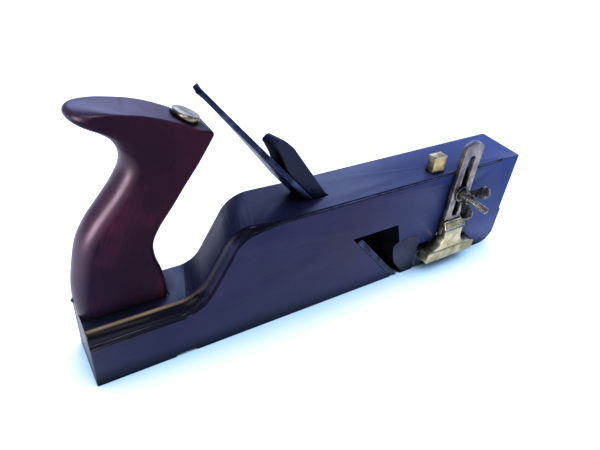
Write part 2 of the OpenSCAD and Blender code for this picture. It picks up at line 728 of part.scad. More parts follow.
module depth_stop_rivets() color([0.55, 0.45, 0.30]) from_heel()
    stop_plate(0, web_t - 1 - fit) rivet_places() circle(d = stop_rivet_d);

// The stud and what it carries, all on one line that leaves the near side square
module on_stud(y) translate([stop_x, y, stud_z]) rotate([90, 0, 0]) children();
module stop_stud() color([0.45, 0.38, 0.30]) from_heel()
    on_stud(bush_l - over) cylinder(d = stud_d, h = stud_out + bush_l - over);
module stud_bush() color([0.66, 0.53, 0.31]) from_heel() on_stud(bush_l) difference() {
    cylinder(d = bush_d, h = bush_l);
    translate([0, 0, over - fit]) cylinder(d = stud_d + 2 * fit, h = bush_l);
}
module stud_washer() color([0.50, 0.42, 0.30]) from_heel() on_stud(-arm_t) difference() {
    cylinder(d = washer_d, h = washer_t);
    translate([0, 0, -1]) cylinder(d = stud_d + 2 * fit, h = washer_t + 2);
}
wing_x = (wing_span - wing_d) / 2;
module wing_nut() color([0.52, 0.42, 0.30]) from_heel() on_stud(-arm_t - washer_t) difference() {
    union() {
        cylinder(d1 = hub_d, d2 = hub_d * 0.78, h = hub_l);
        for (side = [0, 180]) rotate([0, 0, wing_angle + side]) rotate([90, 0, 0])
            linear_extrude(height = wing_t, center = true) {
                translate([wing_x, wing_rise]) circle(d = wing_d);
                polygon([
                    [stud_d * 0.7, 0.8], [hub_d * 0.44, 0.8], [hub_d / 2 + 0.4, hub_l * 0.5],
                    [wing_x + wing_d * 0.46, wing_rise - wing_d * 0.2],
                    [wing_x - wing_d * 0.4, wing_rise + wing_d * 0.3],
                    [stud_d * 0.7, hub_l],
                ]);
            }
    }
    translate([0, 0, -1]) cylinder(d = stud_d + 2 * fit, h = hub_l + wing_rise + wing_d);
}

stock();
shoulder_boxing();
fence_bushes();
tote();
tote_bolt();
tote_nut();
heel_brad();
iron();
wedge();
nicker_bar();
nicker_cutter();
nicker_rivet();
depth_stop_arm();
depth_stop_foot();
depth_stop_rivets();
stop_stud();
stud_bush();
stud_washer();
wing_nut();
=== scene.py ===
import json
import math
import bmesh
import bpy
import numpy as np
from mathutils import Matrix, Vector


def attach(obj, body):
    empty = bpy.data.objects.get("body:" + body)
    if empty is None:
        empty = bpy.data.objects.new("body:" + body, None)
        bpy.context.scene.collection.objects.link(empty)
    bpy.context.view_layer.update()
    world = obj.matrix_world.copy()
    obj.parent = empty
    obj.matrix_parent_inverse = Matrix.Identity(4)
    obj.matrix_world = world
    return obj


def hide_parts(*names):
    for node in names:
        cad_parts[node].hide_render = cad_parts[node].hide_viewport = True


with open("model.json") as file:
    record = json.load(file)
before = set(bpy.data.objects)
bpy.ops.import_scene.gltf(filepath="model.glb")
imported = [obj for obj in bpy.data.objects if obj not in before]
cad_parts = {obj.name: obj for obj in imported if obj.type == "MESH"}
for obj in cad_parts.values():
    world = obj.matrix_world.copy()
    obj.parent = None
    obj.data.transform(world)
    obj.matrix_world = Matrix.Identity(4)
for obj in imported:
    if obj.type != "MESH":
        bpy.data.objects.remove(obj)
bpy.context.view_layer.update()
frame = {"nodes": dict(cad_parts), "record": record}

# Dresses the imported fillister plane for its picture. The imported pieces keep their places: most are copied
# with their corners rounded, a few small ones stay as they are, and each gets the finish of the real thing.
# The handle and the stud are made anew.
# Lengths are in millimetres where a name ends in Mm, and in metres otherwise.

scene = bpy.context.scene
mm = 0.001
halfLength = 0.163  # of the stock, which lies along X with its heel at the low end
heelCorner = np.array([-halfLength, -0.019, 0.0])  # the stock's near corner at the heel, on the sole


def linearColour(hexColour):
    # sRGB hex to linear: divided by 12.92 when dark, otherwise ((c + 0.055) / 1.055) to the power 2.4
    channels = [int(hexColour[i:i + 2], 16) / 255 for i in (1, 3, 5)]
    return tuple(c / 12.92 if c <= 0.04045 else ((c + 0.055) / 1.055) ** 2.4 for c in channels) + (1.0,)


def addNode(tree, kind, inputs=None, stops=(), **settings):
    # one node with its settings, the stops of its colour ramp, and its inputs: a socket is linked, a node
    # is linked by its first output, and anything else is set as the value
    made = tree.nodes.new(kind)
    for name, value in settings.items():
        setattr(made, name, value)
    if stops:
        elements = made.color_ramp.elements
        while len(elements) < len(stops):
            elements.new(0.5)
        for element, (position, colour) in zip(elements, stops):
            element.position = position
            element.color = linearColour(colour)
    for key, value in (inputs or {}).items():
        if isinstance(value, bpy.types.Node):
            value = value.outputs[0]
        if isinstance(value, bpy.types.NodeSocket):
            tree.links.new(value, made.inputs[key])
        else:
            made.inputs[key].default_value = value
    return made


def newObject(name, data):
    made = bpy.data.objects.new(name, data)
    scene.collection.objects.link(made)
    return made


def meshFromGrid(name, grid, closeAround=False, capEnds=False):
    # grid is rows x columns x 3. Neighbouring rows and columns make quads: point (row, column) joins
    # (row, column + 1), (row + 1, column + 1) and (row + 1, column). capEnds closes the first and last row.
    rows, columns = grid.shape[:2]
    index = np.arange(rows * columns).reshape(rows, columns)
    right = np.roll(index, -1, axis=1) if closeAround else index[:, 1:]
    left = index if closeAround else index[:, :-1]
    quads = np.stack([left[:-1], right[:-1], right[1:], left[1:]], axis=-1).reshape(-1, 4)
    faces = quads.tolist()
    if capEnds:
        faces += [index[0][::-1].tolist(), index[-1].tolist()]
    mesh = bpy.data.meshes.new(name)
    mesh.from_pydata(grid.reshape(-1, 3).tolist(), [], faces)
    mesh.update()
    return mesh


def shadeSmooth(mesh):
    mesh.polygons.foreach_set("use_smooth", np.ones(len(mesh.polygons), dtype=bool))
    mesh.update()


def faceOutwards(mesh):
    work = bmesh.new()
    work.from_mesh(mesh)
    bmesh.ops.recalc_face_normals(work, faces=work.faces)
    work.to_mesh(mesh)
    work.free()


def takeEvaluated(piece):
    # the piece keeps what its modifiers gave as its own mesh
    evaluated = piece.evaluated_get(bpy.context.evaluated_depsgraph_get())
    piece.data = bpy.data.meshes.new_from_object(evaluated)
    piece.modifiers.clear()


bodyOf = {node: body for body, nodes in frame["record"]["behaviour"]["bodies"].items() for node in nodes}


def seat(piece, nodeName):
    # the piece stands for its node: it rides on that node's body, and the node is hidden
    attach(piece, bodyOf[nodeName])
    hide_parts(nodeName)


camera = {
    "place": (-0.18414, -0.23216, 0.27200),
    "right": (0.85175, -0.51603, 0.09065),
    "up": (0.24954, 0.55170, 0.79582),
    "back": (-0.46069, -0.65523, 0.59869),
    "lensMm": 32.47,
    "sensorMm": 36,
    "nearest": 0.01,
}


def makeCamera():
    data = bpy.data.cameras.new("photoCamera")
    data.lens = camera["lensMm"]
    data.sensor_width = camera["sensorMm"]
    data.clip_start = camera["nearest"]
    made = newObject("photoCamera", data)
    turn = Matrix((camera["right"], camera["up"], camera["back"])).transposed().to_4x4()
    made.matrix_world = Matrix.Translation(camera["place"]) @ turn
    scene.camera = made


def whiteForCamera(tree, lit, whiteness, tint):
    # what the camera, mirrors and glass see gets a plain white added; everything else sees the lit surface
    path = addNode(tree, "ShaderNodeLightPath")
    seen = path.outputs["Is Camera Ray"]
    for kindOfRay in ("Is Glossy Ray", "Is Transmission Ray"):
        seen = addNode(tree, "ShaderNodeMath", {0: seen, 1: path.outputs[kindOfRay]}, operation="MAXIMUM")
    strength = addNode(tree, "ShaderNodeMath", {0: seen, 1: whiteness}, operation="MULTIPLY")
    glow = addNode(tree, "ShaderNodeEmission", {"Color": tint, "Strength": strength})
    return addNode(tree, "ShaderNodeAddShader", {0: lit, 1: glow})


paper = {
    "half": 3.0,
    "shadeReach": 0.05,  # how near the plane has to be for its shade
    "shade": [(0.24, "#14161f"), (0.48, "#a4cfea"), (0.84, "#ffffff")],  # from covered to open
    "greyShare": 0.22,
    "whiteness": 0.74,
}


def makeFloor():
    # the four corners of a flat square: (-half or half, -half or half, 0)
    half = paper["half"]
    corners = np.array([[[-half, -half, 0.0], [half, -half, 0.0]], [[-half, half, 0.0], [half, half, 0.0]]])
    floor = newObject("floor", meshFromGrid("floor", corners))
    material = bpy.data.materials.new("paleSweep")
    material.use_nodes = True
    tree = material.node_tree
    tree.nodes.clear()
    # where the plane stands close over the paper, its white gives way to a blue-grey shade
    openness = addNode(tree, "ShaderNodeAmbientOcclusion", {"Distance": paper["shadeReach"]}, samples=12)
    shade = addNode(tree, "ShaderNodeValToRGB", {"Fac": openness.outputs["AO"]}, stops=paper["shade"])
    grey = addNode(tree, "ShaderNodeMix", {0: paper["greyShare"], 6: shade, 7: linearColour("#000000")},
                   data_type="RGBA")
    lit = addNode(tree, "ShaderNodeBsdfDiffuse", {"Color": grey.outputs[2]})
    surface = whiteForCamera(tree, lit, paper["whiteness"], shade)
    addNode(tree, "ShaderNodeOutputMaterial", {"Surface": surface})
    floor.data.materials.append(material)


lights = {
    # name: (place, aimed at, size across, size up, watts, colour)
    "windowBehind": ((0.30, 0.95, 0.85), (0.0, 0.0, 0.05), 1.2, 0.7, 9.0, "#b0c5ff"),
    "softRight": ((1.00, -0.10, 0.60), (0.02, 0.0, 0.05), 0.8, 0.8, 9.0, "#a9c2ff"),
    "stripLeft": ((-0.96, -0.50, 0.12), (-0.13, 0.0, 0.10), 0.40, 0.60, 13.0, "#f4f6ff"),
    "frontFill": ((-0.35, -1.00, 0.55), (0.05, 0.0, 0.04), 0.5, 0.4, 1.2, "#fff0dc"),
    "smallAbove": ((-0.12, -0.50, 0.85), (0.0, 0.0, 0.05), 0.14, 0.14, 2.0, "#eef2ff"),
}


def makeLights():
    for name, (place, target, across, up, watts, colour) in lights.items():
        data = bpy.data.lights.new(name, "AREA")
        data.shape = "RECTANGLE"
        data.size = across
        data.size_y = up
        data.energy = watts
        data.color = linearColour(colour)[:3]
        made = newObject(name, data)
        away = (Vector(place) - Vector(target)).to_track_quat("Z", "Y")
        made.matrix_world = Matrix.Translation(place) @ away.to_matrix().to_4x4()


room = {
    # brighter above and behind the plane than in front of it
    "brightWay": (0.35, 0.4, 0.45),
    "leanFrom": -0.4, "leanTo": 0.65,
    "dim": 0.14, "bright": 0.85,
    "colour": "#b3c6ff",
}


def makeRoom():
    world = bpy.data.worlds.new("paleRoom")
    scene.world = world
    world.use_nodes = True
    tree = world.node_tree
    tree.nodes.clear()
    way = addNode(tree, "ShaderNodeTexCoord").outputs["Generated"]
    lean = addNode(tree, "ShaderNodeVectorMath", {0: way, 1: room["brightWay"]}, operation="DOT_PRODUCT")
    level = addNode(tree, "ShaderNodeMapRange", {
        "Value": lean.outputs["Value"], "From Min": room["leanFrom"], "From Max": room["leanTo"],
        "To Min": room["dim"], "To Max": room["bright"]})
    walls = addNode(tree, "ShaderNodeBackground", {"Color": linearColour(room["colour"]), "Strength": level})
    white = addNode(tree, "ShaderNodeBackground", {"Color": linearColour("#ffffff"), "Strength": 1.0})
    seen = addNode(tree, "ShaderNodeLightPath").outputs["Is Camera Ray"]
    mixed = addNode(tree, "ShaderNodeMixShader", {0: seen, 1: walls, 2: white})
    addNode(tree, "ShaderNodeOutputWorld", {"Surface": mixed})


makeCamera()
makeFloor()
makeLights()
makeRoom()
scene.view_settings.view_transform = "Standard"
print("stage, camera and light are set")


def startMaterial(name, stretch, turn=(0, 0, 0)):
    # an empty material with the object coordinates, and the same turned and stretched for the pattern
    material = bpy.data.materials.new(name)
    material.use_nodes = True
    tree = material.node_tree
    tree.nodes.clear()
    coordinates = addNode(tree, "ShaderNodeTexCoord").outputs["Object"]
    turned = addNode(tree, "ShaderNodeMapping", {"Vector": coordinates, "Rotation": turn})
    pattern = addNode(tree, "ShaderNodeMapping", {"Vector": turned, "Scale": stretch})
    return material, tree, coordinates, pattern


def perMetre(sizeMm):
    # a noise cell of this size in millimetres, as a scale in cells per metre
    return 1000.0 / sizeMm


def edgeWear(tree, coordinates, radiusMm, patchMm, patchFrom, patchTo):
    # worn corners: 1 where a rounded normal leaves the true one by a cosine of 0.88, broken up by patches
    softened = addNode(tree, "ShaderNodeBevel", {"Radius": radiusMm * mm}, samples=6)
    normal = addNode(tree, "ShaderNodeNewGeometry").outputs["Normal"]
    same = addNode(tree, "ShaderNodeVectorMath", {0: softened, 1: normal}, operation="DOT_PRODUCT")
    corner = addNode(tree, "ShaderNodeMapRange", {"Value": same.outputs["Value"],
                                                  "From Min": 1.0, "From Max": 0.88})
    patch = addNode(tree, "ShaderNodeTexNoise", {"Vector": coordinates, "Scale": perMetre(patchMm),
                                                 "Detail": 4.0})
    broken = addNode(tree, "ShaderNodeMapRange", {"Value": patch, "From Min": patchFrom, "From Max": patchTo})
    return addNode(tree, "ShaderNodeMath", {0: corner, 1: broken}, operation="MULTIPLY")


def alongStock(tree, place, stops):
    # a colour that changes from the heel (0) to the toe (1)
    share = addNode(tree, "ShaderNodeMapRange", {"Value": place.outputs["X"],
                                                 "From Min": -halfLength, "From Max": halfLength})
    return addNode(tree, "ShaderNodeValToRGB", {"Fac": share}, stops=stops)


def insideBox(tree, place, boxMm):
    # 1 inside a box, 0 outside: the product of one comparison for each of its six sides
    inside = 1.0
    for axis, (low, high) in zip("XYZ", boxMm):
        for edge, comparison in ((low, "GREATER_THAN"), (high, "LESS_THAN")):
            within = addNode(tree, "ShaderNodeMath", {0: place.outputs[axis], 1: edge * mm},
                             operation=comparison)
            inside = addNode(tree, "ShaderNodeMath", {0: within, 1: inside}, operation="MULTIPLY")
    return inside


def mouldedEdge(tree, moulding, place, facing, clouds, colour):
    # Painted shade lies black on what leans to the near side and darkens the heel's top and the top from the
    # ramp up to the iron, and the upper arris of the moulding is rubbed to a pale line at the heel.
    # The line is the product of four shares: near it, behind its end, facing up, and rubbed in patches.
    aside = addNode(tree, "ShaderNodeMath", {0: place.outputs["Y"], 1: moulding["lineYMm"] * mm},
                    operation="SUBTRACT")
    aside = addNode(tree, "ShaderNodeMath", {0: aside}, operation="ABSOLUTE")
    outerMm, innerMm = moulding["lineHalfMm"]
    onLine = addNode(tree, "ShaderNodeMapRange",
                     {"Value": aside, "From Min": outerMm * mm, "From Max": innerMm * mm})
    endMm, fullMm = moulding["lineEndMm"]
    behind = addNode(tree, "ShaderNodeMapRange",
                     {"Value": place.outputs["X"], "From Min": endMm * mm, "From Max": fullMm * mm})
    # nothing on upright faces, all on what looks up by more than 0.4
    up = addNode(tree, "ShaderNodeMapRange", {"Value": facing.outputs["Z"], "From Min": 0.2, "From Max": 0.4})
    rubbed = addNode(tree, "ShaderNodeMapRange", {"Value": clouds, "From Min": 0.25, "From Max": 0.5,
                                                  "To Min": 0.35, "To Max": 0.95})
    line = onLine
    for share in (behind, up, rubbed):
        line = addNode(tree, "ShaderNodeMath", {0: line, 1: share}, operation="MULTIPLY")
    # sideways times upwards is -0.5 on a slope of 45 degrees to the near side
    leaning = addNode(tree, "ShaderNodeMath", {0: facing.outputs["Y"], 1: facing.outputs["Z"]},
                      operation="MULTIPLY")
    # painted shade: what leans to the near side turns near black; the same share makes its wax smoother
    waxAndSlopeShade = addNode(tree, "ShaderNodeMapRange", {"Value": leaning, "From Min": -0.12, "From Max": -0.38,
                                                 "To Max": 0.85})
    # painted shade on the heel's top beside the tote and on the top from the ramp up to the iron, which also
    # loses shine
    low = addNode(tree, "ShaderNodeMath", {0: place.outputs["Z"], 1: moulding["heelTopMm"] * mm},
                  operation="LESS_THAN")
    noneMm, allMm = moulding["shadedTopMm"]
    shadedDullTop = addNode(tree, "ShaderNodeMapRange",
                    {"Value": place.outputs["X"], "From Min": noneMm * mm, "From Max": allMm * mm})
    shadedDullTop = addNode(tree, "ShaderNodeMath", {0: shadedDullTop, 1: up}, operation="MULTIPLY")
    shadedDullTop = addNode(tree, "ShaderNodeMath", {0: shadedDullTop, 1: low}, operation="SUBTRACT", use_clamp=True)
    topShade = addNode(tree, "ShaderNodeMath", {0: low, 1: up}, operation="MULTIPLY")
    topShade = addNode(tree, "ShaderNodeMath", {0: topShade, 1: shadedDullTop}, operation="ADD")
    topShade = addNode(tree, "ShaderNodeMath", {0: topShade, 1: moulding["topShadeShare"]}, operation="MULTIPLY")
    for share, layer in ((waxAndSlopeShade, "slopeShadeColour"), (topShade, "topShadeColour"), (line, "lineColour")):
        colour = addNode(tree, "ShaderNodeMix", {0: share, 6: colour.outputs[2],
                                                 7: linearColour(moulding[layer])}, data_type="RGBA")
    return colour, waxAndSlopeShade, shadedDullTop


plainWood = {
    "turnDegrees": 0,  # lean of the fibres, seen from the near side
    "cloudMm": 42, "cloudShare": 0.62,  # the slow clouds, and their share against the fibres
    "heelToToeShare": 0.55,
    "cornerMm": 1.1, "chipMm": 5.0,  # width of the worn corners, and of the patches that break them up
    "wear": 0.8,  # how much of the worn corners shows
    "hollowMm": 20,  # how far apart walls may stand and still darken them with dirt and painted shade
    "dirtAndPaintedShade": "#08080c",
    "handlingMm": 17,  # patches where the surface is smoother or duller
    "dentMm": 6.5,
    "shine": (0.1, 0.45),  # of most faces, and of those that hands polish
    "polishedWay": (0, 0, 1),  # where the polished faces look
    "polishedFrom": 0.85,  # cosine at which the polish starts
    "shineTint": "#ffffff",
    "moulding": None,
    "throatMm": None,
}


def woodFinish(name, changes):
    # close-grained hardwood. Its tone is cloudShare parts slow clouds and the rest long fibres, mixed with
    # the colours from heel to toe. Over it come pores as fine dark dashes, worn corners, and dirt with
    # painted shade in the hollows and in any throat given, which also takes their shine. The real fibres are
    # about
    # 0.2 mm wide, and are drawn as coarse as they need to show.
    wood = {**plainWood, **changes}
    dark, middle, light = wood["colours"]
    widthMm, lengthMm = wood["grainMm"]
    stretch = (perMetre(lengthMm), perMetre(widthMm), perMetre(widthMm))
    turn = (0, math.radians(wood["turnDegrees"]), 0)
    material, tree, coordinates, pattern = startMaterial(name, stretch, turn)
    place = addNode(tree, "ShaderNodeSeparateXYZ", {"Vector": coordinates})
    normal = addNode(tree, "ShaderNodeNewGeometry").outputs["Normal"]
    facing = addNode(tree, "ShaderNodeSeparateXYZ", {"Vector": normal})

    fibres = addNode(tree, "ShaderNodeTexNoise", {"Vector": pattern, "Scale": 1.0, "Detail": 6.0,
                                                  "Roughness": 0.62, "Distortion": 0.35})
    clouds = addNode(tree, "ShaderNodeTexNoise", {"Vector": coordinates, "Scale": perMetre(wood["cloudMm"]),
                                                  "Detail": 3.0, "Roughness": 0.5})
    shade = addNode(tree, "ShaderNodeMix", {0: wood["cloudShare"], 2: fibres, 3: clouds}, data_type="FLOAT")
    tone = addNode(tree, "ShaderNodeValToRGB", {"Fac": shade},
                   stops=[(0.36, dark), (0.50, middle), (0.64, light)])
    colour = addNode(tree, "ShaderNodeMix", {0: wood["heelToToeShare"], 6: tone,
                                             7: alongStock(tree, place, wood["heelToToe"])}, data_type="RGBA")
    # the pores are three times as fine as the fibres
    pores = addNode(tree, "ShaderNodeTexNoise", {"Vector": pattern, "Scale": 3.1, "Detail": 2.0,
                                                 "Roughness": 0.4})
    dash = addNode(tree, "ShaderNodeMapRange", {"Value": pores, "From Min": 0.62, "From Max": 0.74,
                                                "To Max": 0.7})
    colour = addNode(tree, "ShaderNodeMix", {0: dash, 6: colour.outputs[2], 7: linearColour(dark)},
                     data_type="RGBA")
    corner = edgeWear(tree, coordinates, wood["cornerMm"], wood["chipMm"], 0.38, 0.62)
    wornShare = addNode(tree, "ShaderNodeMath", {0: corner, 1: wood["wear"]}, operation="MULTIPLY",
                        use_clamp=True)
    colour = addNode(tree, "ShaderNodeMix", {0: wornShare, 6: colour.outputs[2],
                                             7: alongStock(tree, place, wood["cornersHeelToToe"])},
                     data_type="RGBA")
    if wood["moulding"]:
        colour, waxAndSlopeShade, shadedDullTop = mouldedEdge(tree, wood["moulding"], place, facing, clouds, colour)

    # dirt and painted shade: the hollows darken towards the dark hollow colour
    openness = addNode(tree, "ShaderNodeAmbientOcclusion", {"Distance": wood["hollowMm"] * mm}, samples=8)
    clearOfDirtAndShade = addNode(tree, "ShaderNodeMapRange", {"Value": openness.outputs["AO"], "From Min": 0.42,
                                                 "From Max": 0.88, "To Min": 0.03})
    if wood["throatMm"]:
        # painted shade: the whole throat takes the dark hollow colour
        outside = addNode(tree, "ShaderNodeMath", {0: 1.0, 1: insideBox(tree, place, wood["throatMm"])},
                          operation="SUBTRACT")
        clearOfDirtAndShade = addNode(tree, "ShaderNodeMath", {0: clearOfDirtAndShade, 1: outside}, operation="MULTIPLY")
    colour = addNode(tree, "ShaderNodeMix", {0: clearOfDirtAndShade, 6: linearColour(wood["dirtAndPaintedShade"]), 7: colour.outputs[2]},
                     data_type="RGBA")

    # the shine: more on what hands polish and on corners, less in the hollows darkened with dirt and painted
    # shade
    polished = addNode(tree, "ShaderNodeVectorMath", {0: normal, 1: wood["polishedWay"]},
                       operation="DOT_PRODUCT")
    level = addNode(tree, "ShaderNodeMapRange", {
        "Value": polished.outputs["Value"], "From Min": wood["polishedFrom"], "From Max": 1.0,
        "To Min": wood["shine"][0], "To Max": wood["shine"][1]})
    shine = addNode(tree, "ShaderNodeMath", {0: corner, 1: 0.3, 2: level}, operation="MULTIPLY_ADD")
    shine = addNode(tree, "ShaderNodeMath", {0: clearOfDirtAndShade, 1: shine}, operation="MULTIPLY")
    handling = addNode(tree, "ShaderNodeTexNoise", {
        "Vector": coordinates, "Scale": perMetre(wood["handlingMm"]), "Detail": 5.0, "Roughness": 0.65})
    smoothest, roughest = wood["roughness"]
    dull = addNode(tree, "ShaderNodeMapRange", {"Value": handling, "From Min": 0.3, "From Max": 0.7,
                                                "To Min": smoothest, "To Max": roughest})
    if wood["moulding"]:
        # the painted shade on the top from the ramp to the iron also takes its shine, and the wax in the
        # moulding is smoother than the wood
        left = addNode(tree, "ShaderNodeMath", {0: shadedDullTop, 1: -0.75, 2: 1.0}, operation="MULTIPLY_ADD")
        shine = addNode(tree, "ShaderNodeMath", {0: shine, 1: left}, operation="MULTIPLY")
        rough = addNode(tree, "ShaderNodeMath", {0: waxAndSlopeShade, 1: -0.6, 2: 1.0}, operation="MULTIPLY_ADD")
        dull = addNode(tree, "ShaderNodeMath", {0: dull, 1: rough}, operation="MULTIPLY")
    dents = addNode(tree, "ShaderNodeTexNoise", {"Vector": coordinates, "Scale": perMetre(wood["dentMm"]),
                                                 "Detail": 3.0, "Roughness": 0.55})
    height = addNode(tree, "ShaderNodeMath", {0: fibres, 1: dents}, operation="ADD")
    bump = addNode(tree, "ShaderNodeBump", {"Height": height, "Distance": wood["bumpMm"] * mm,
                                            "Strength": 1.0})
    shader = addNode(tree, "ShaderNodeBsdfPrincipled", {
        "Base Color": colour.outputs[2], "Roughness": dull, "Normal": bump, "Specular IOR Level": shine,
        "Specular Tint": linearColour(wood["shineTint"]), "IOR": 1.5})
    addNode(tree, "ShaderNodeOutputMaterial", {"Surface": shader})
    return material


plainMetal = {
    "brushed": (1, 1, 1),  # below 1 the file marks run long that way
    "markMm": 0.8,  # real file marks are finer, and are drawn as coarse as they need to show
    "cornerMm": 0.5, "chipMm": 2.5,
    "wear": 0.8,
    "hollowMm": 6.0,
    "dirtAndPaintedShade": "#17140e",
}


def metalFinish(name, changes):
    # old metal: a dull skin in patches, file marks along one way, bright rubbed corners, dirt and painted
    # shade in the hollows.
    # Roughness and height both follow patches + marks.
    metal = {**plainMetal, **changes}
    dark, middle, light = metal["colours"]
    stretch = tuple(perMetre(metal["markMm"]) * share for share in metal["brushed"])
    material, tree, coordinates, pattern = startMaterial(name, stretch)
    patches = addNode(tree, "ShaderNodeTexNoise", {"Vector": coordinates, "Scale": perMetre(metal["patchMm"]),
                                                   "Detail": 5.0, "Roughness": 0.6})
    tone = addNode(tree, "ShaderNodeValToRGB", {"Fac": patches},
                   stops=[(0.36, dark), (0.50, middle), (0.64, light)])
    corner = edgeWear(tree, coordinates, metal["cornerMm"], metal["chipMm"], 0.3, 0.55)
    wornShare = addNode(tree, "ShaderNodeMath", {0: corner, 1: metal["wear"]}, operation="MULTIPLY",
                        use_clamp=True)
    colour = addNode(tree, "ShaderNodeMix", {0: wornShare, 6: tone, 7: linearColour(metal["wornColour"])},
                     data_type="RGBA")
    # dirt and painted shade: the hollows darken towards the dark hollow colour
    openness = addNode(tree, "ShaderNodeAmbientOcclusion", {"Distance": metal["hollowMm"] * mm}, samples=8)
    clearOfDirtAndShade = addNode(tree, "ShaderNodeMapRange", {"Value": openness.outputs["AO"], "From Min": 0.35,
                                                 "From Max": 0.85, "To Min": 0.12})
    colour = addNode(tree, "ShaderNodeMix", {0: clearOfDirtAndShade, 6: linearColour(metal["dirtAndPaintedShade"]), 7: colour.outputs[2]},
                     data_type="RGBA")
    marks = addNode(tree, "ShaderNodeTexNoise", {"Vector": pattern, "Scale": 1.0, "Detail": 3.0,
                                                 "Roughness": 0.5})
    both = addNode(tree, "ShaderNodeMath", {0: patches, 1: marks}, operation="ADD")
    smoothest, roughest = metal["roughness"]
    dull = addNode(tree, "ShaderNodeMapRange", {"Value": both, "From Min": 0.75, "From Max": 1.25,
                                                "To Min": smoothest, "To Max": roughest})
    bump = addNode(tree, "ShaderNodeBump", {"Height": both, "Distance": metal["bumpMm"] * mm,
                                            "Strength": 1.0})
    shader = addNode(tree, "ShaderNodeBsdfPrincipled", {
        "Base Color": colour.outputs[2], "Metallic": 1.0, "Roughness": dull, "Normal": bump})
    addNode(tree, "ShaderNodeOutputMaterial", {"Surface": shader})
    return material


throatMm = ((-20, 90), (-18.75, 18.5), (0.6, 51.2))  # the box that holds the escapement and the mouth, which is darkened all over as painted shade

# beech or similar, blackened and waxed: an indigo black, purple in the middle, bluer at the toe, with
# brown corners
ebonisedWood = woodFinish("ebonisedWaxedHardwood", {
    "colours": ("#0d122a", "#1a2042", "#30264c"),
    "heelToToe": [(0.0, "#11162c"), (0.33, "#1b1e3e"), (0.55, "#2b2346"), (0.78, "#1b3770"),
                  (1.0, "#274c94")],
    "cornersHeelToToe": [(0.22, "#66503f"), (0.34, "#2c3048"), (0.7, "#475478"), (1.0, "#6a7ba8")],
    "grainMm": (1.6, 38),
    "roughness": (0.28, 0.42),
    "bumpMm": 0.03,
    "shine": (0.14, 0.46),
    "throatMm": throatMm,
    "moulding": {
        "lineYMm": -11.6,
        "lineHalfMm": (1.1, 0.33),  # its faint edge and its full core
        "lineEndMm": (-92, -122),  # where it starts, and where it is full
        "lineColour": "#8a7654",
        # painted shade on what leans to the near side
        "slopeShadeColour": "#07080c",
        "heelTopMm": 39.4,
        "shadedTopMm": (-8, -32),  # where the painted shade on the top starts, and where it is full
        # painted shade on the heel's top and on the top from the ramp to the iron
        "topShadeShare": 0.55,
        "topShadeColour": "#100d10",
    },
})
# the wedge is of the same wood, drier and darker: little shine, and fibres along its length
ebonisedWedge = woodFinish("ebonisedDryWedge", {
    "colours": ("#0c0f1a", "#151a2c", "#20283f"),
    "heelToToe": [(0.0, "#10162a"), (1.0, "#161f36")],
    "cornersHeelToToe": [(0.0, "#3a3230"), (1.0, "#40383a")],
    "grainMm": (1.4, 30),
    "roughness": (0.40, 0.58),
    "bumpMm": 0.04,
    "turnDegrees": 49,
    "shine": (0.15, 0.3),
})
# a slip of boxwood set on end, dark and dirty with use, paler at its corners
boxwood = woodFinish("oldBoxwoodSlip", {
    "colours": ("#12162a", "#20243c", "#3c3c50"),
    "heelToToe": [(0.0, "#1a1e34"), (1.0, "#1e223a")],
    "cornersHeelToToe": [(0.0, "#6a6672"), (1.0, "#6a6672")],
    "grainMm": (1.0, 14),
    "roughness": (0.34, 0.5),
    "bumpMm": 0.04,
    "turnDegrees": 40,
    "shine": (0.2, 0.3),
    "throatMm": throatMm,
})
# dense red-brown hardwood polished by hands: maroon with purple-black shade, a lavender sheen on the worn top
handleWood = woodFinish("handPolishedRedHardwood", {
    "colours": ("#130a14", "#27131e", "#562434"),
    "heelToToe": [(0.0, "#1c1830"), (0.08, "#1a1020"), (0.15, "#26141f"), (0.22, "#3a1826"),
                  (0.3, "#341626")],
    "cornersHeelToToe": [(0.0, "#5c4a68"), (1.0, "#6a4a52")],
    "grainMm": (1.2, 34),
    "roughness": (0.30, 0.44),
    "bumpMm": 0.025,
    "turnDegrees": 66,
    "wear": 0.5,
    "shine": (0.04, 1.0),
    "polishedWay": (-0.6, 0, 0.9),
    "polishedFrom": 0.2,
    "shineTint": "#ffd9e6",
    "cloudShare": 0.84,
})
# cast and filed brass gone silvery under a dull olive skin
brass = metalFinish("filedOldBrass", {
    "colours": ("#857b55", "#aaa078", "#cbc29c"), "wornColour": "#f8f3df",
    "roughness": (0.24, 0.40), "patchMm": 12.0, "bumpMm": 0.02, "brushed": (1, 0.08, 1)})
# the slotted arm is browned almost black, with a trace of brass at its corners
darkArm = metalFinish("brownedBrassArm", {
    "colours": ("#5c5857", "#7d7874", "#a39b86"), "wornColour": "#dccfa2",
    "roughness": (0.30, 0.48), "patchMm": 8.0, "bumpMm": 0.02, "brushed": (1, 1, 0.08)})
# the nicker's bar is a brighter brass, from being tapped and drawn
brightBrass = metalFinish("rubbedBrassBar", {
    "colours": ("#9a8858", "#b8a472", "#d2c294"), "wornColour": "#efe9d4",
    "roughness": (0.24, 0.40), "patchMm": 6.0, "bumpMm": 0.02, "brushed": (1, 1, 0.08)})
# brass gone brown, as on a wing nut that is only gripped
brownBrass = metalFinish("brownedBrass", {
    "colours": ("#35332f", "#58544c", "#8c8676"), "wornColour": "#e0dac2",
    "roughness": (0.24, 0.42), "patchMm": 4.0, "bumpMm": 0.02})
# greyed brass, as on the nut of a handle: a pale even sheen
paleBrass = metalFinish("greyedBrassNut", {
    "colours": ("#6e6550", "#978c72", "#bfb596"), "wornColour": "#e6dec6",
    "roughness": (0.24, 0.40), "patchMm": 5.0, "bumpMm": 0.02})
